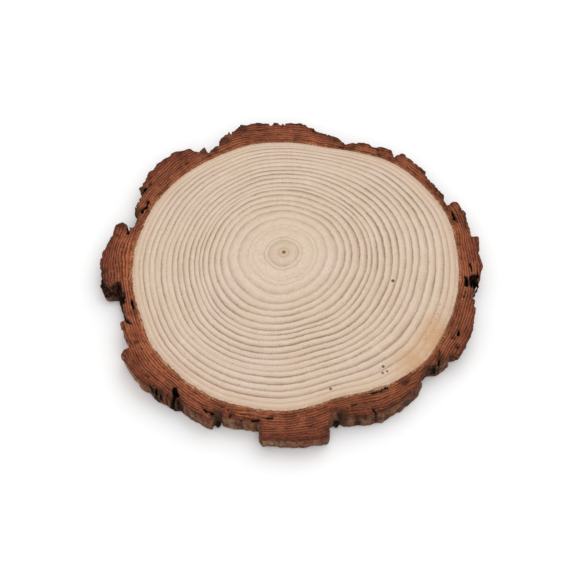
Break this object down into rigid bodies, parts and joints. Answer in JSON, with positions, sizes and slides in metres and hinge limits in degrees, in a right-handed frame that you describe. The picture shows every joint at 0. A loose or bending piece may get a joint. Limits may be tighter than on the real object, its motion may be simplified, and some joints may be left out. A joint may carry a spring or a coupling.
{
  "type": "wood slice",
  "caption": "Thin round slice sawn across a young pine trunk, with growth rings on both flat faces and thick scaly bark round the edge.",
  "frame": {"origin": "on the floor, under the middle of the slice's outline", "axes": "+Z is the slice's thickness, up out of the upper sawn face; +X is its longest way across; +Y runs away from the thick front block of bark"},
  "size_m": [0.12, 0.117, 0.0065],
  "materials": {
    "wood": "sawn and lightly sanded, unfinished",
    "bark": "rough, dry, scaly"
  },
  "bodies": {
    "root": {"wood": "wood", "bark": "bark"}
  },
  "joints": []
}
